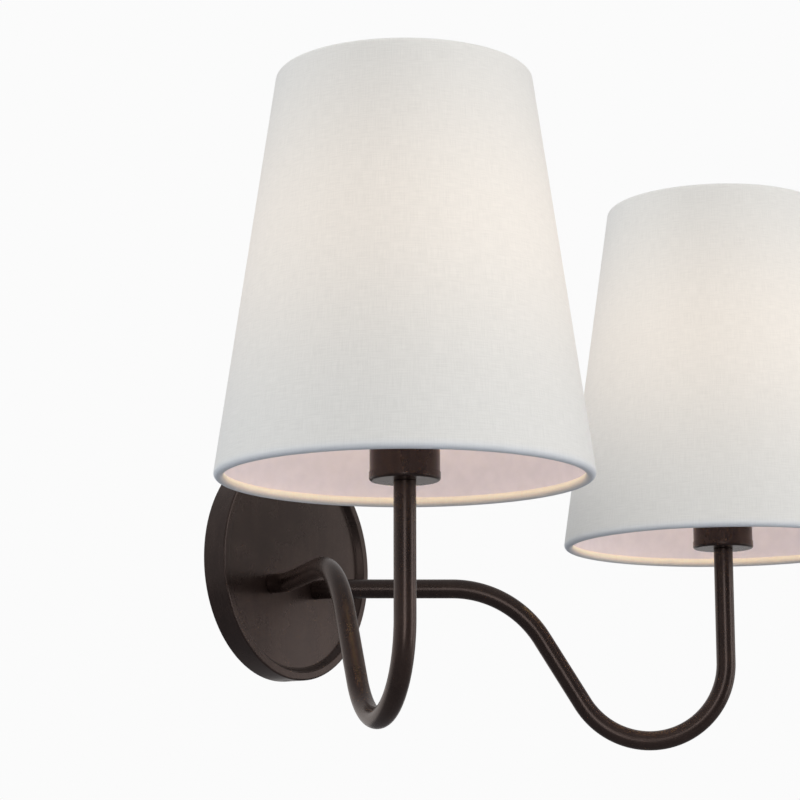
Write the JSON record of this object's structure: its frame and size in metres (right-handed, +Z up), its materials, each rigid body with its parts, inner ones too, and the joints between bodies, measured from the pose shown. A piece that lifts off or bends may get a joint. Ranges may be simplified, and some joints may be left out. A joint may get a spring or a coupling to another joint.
{
  "type": "double arm wall sconce",
  "caption": "Wall sconce with a round dished backplate, bent tube arms with upturned hooks, and tapered linen shades round candle lamps.",
  "frame": {"origin": "on the wall at the centre of the mounting bar's back face, which is the backplate's centre", "axes": "+X along the wall to the right as seen from the room, +Y into the wall, +Z up"},
  "size_m": [0.4534, 0.2698, 0.2899],
  "materials": {
    "aged_bronze": "dark aged bronze, semi-matte with worn speckle",
    "zinc_steel": "dull zinc plated",
    "brass": "plain brass",
    "white_plastic": "matte",
    "lead_sheath": "smooth dark sheath",
    "black_plastic": "matte phenolic",
    "ceramic": "unglazed white ceramic",
    "shade_linen": "off-white fine linen over a stiff liner",
    "white_wire": "white coated steel wire",
    "lamp_solder": "solder grey",
    "lamp_insulator": "black vitrified glass",
    "lamp_cap": "satin",
    "lamp_glass": "frosted, lit warm white"
  },
  "bodies": {
    "sconce": {"backplate": "aged_bronze", "canopy_screws": "aged_bronze", "mounting_bar": "zinc_steel", "terminal_screws": "zinc_steel", "ground_screw": "brass", "terminal_block": "white_plastic", "arm_left": "aged_bronze", "cup_base_left": "aged_bronze", "cup_sleeve_left": "aged_bronze", "root_nipple_left": "zinc_steel", "root_washer_left": "zinc_steel", "root_nut_left": "zinc_steel", "stem_nipple_left": "zinc_steel", "cup_washer_left": "zinc_steel", "cup_nut_left": "zinc_steel", "lead_left": "lead_sheath", "lampholder_housing_left": "black_plastic", "lower_ring_left": "black_plastic", "lampholder_core_left": "ceramic", "screw_shell_left": "brass", "centre_contact_left": "brass", "arm_right": "aged_bronze", "cup_base_right": "aged_bronze", "cup_sleeve_right": "aged_bronze", "root_nipple_right": "zinc_steel", "root_washer_right": "zinc_steel", "root_nut_right": "zinc_steel", "stem_nipple_right": "zinc_steel", "cup_washer_right": "zinc_steel", "cup_nut_right": "zinc_steel", "lead_right": "lead_sheath", "lampholder_housing_right": "black_plastic", "lower_ring_right": "black_plastic", "lampholder_core_right": "ceramic", "screw_shell_right": "brass", "centre_contact_right": "brass"},
    "shade_left": {"shade_left": "shade_linen", "shade_fitter_left": "white_wire", "shade_spokes_left": "white_wire", "top_wire_left": "white_wire", "bottom_wire_left": "white_wire"},
    "ring_left": {"upper_ring_left": "black_plastic"},
    "lamp_left": {"lamp_contact_left": "lamp_solder", "lamp_insulator_left": "lamp_insulator", "lamp_cap_left": "lamp_cap", "lamp_glass_left": "lamp_glass"},
    "shade_right": {"shade_right": "shade_linen", "shade_fitter_right": "white_wire", "shade_spokes_right": "white_wire", "top_wire_right": "white_wire", "bottom_wire_right": "white_wire"},
    "ring_right": {"upper_ring_right": "black_plastic"},
    "lamp_right": {"lamp_contact_right": "lamp_solder", "lamp_insulator_right": "lamp_insulator", "lamp_cap_right": "lamp_cap", "lamp_glass_right": "lamp_glass"}
  },
  "joints": [
    {"name": "shade_turn_left", "type": "hinge", "parent": "sconce", "child": "shade_left", "pos_m": [-0.14289, -0.18598, 0.0531], "axis": [0, 0, 1], "continuous": true},
    {"name": "ring_turn_left", "type": "hinge", "parent": "sconce", "child": "ring_left", "pos_m": [-0.14289, -0.18598, 0.0572], "axis": [0, 0, 1], "continuous": true},
    {"name": "lamp_turn_left", "type": "hinge", "parent": "sconce", "child": "lamp_left", "pos_m": [-0.14289, -0.18598, 0.06], "axis": [0, 0, 1], "continuous": true},
    {"name": "shade_turn_right", "type": "hinge", "parent": "sconce", "child": "shade_right", "pos_m": [0.14289, -0.18598, 0.0531], "axis": [0, 0, 1], "continuous": true},
    {"name": "ring_turn_right", "type": "hinge", "parent": "sconce", "child": "ring_right", "pos_m": [0.14289, -0.18598, 0.0572], "axis": [0, 0, 1], "continuous": true},
    {"name": "lamp_turn_right", "type": "hinge", "parent": "sconce", "child": "lamp_right", "pos_m": [0.14289, -0.18598, 0.06], "axis": [0, 0, 1], "continuous": true}
  ]
}
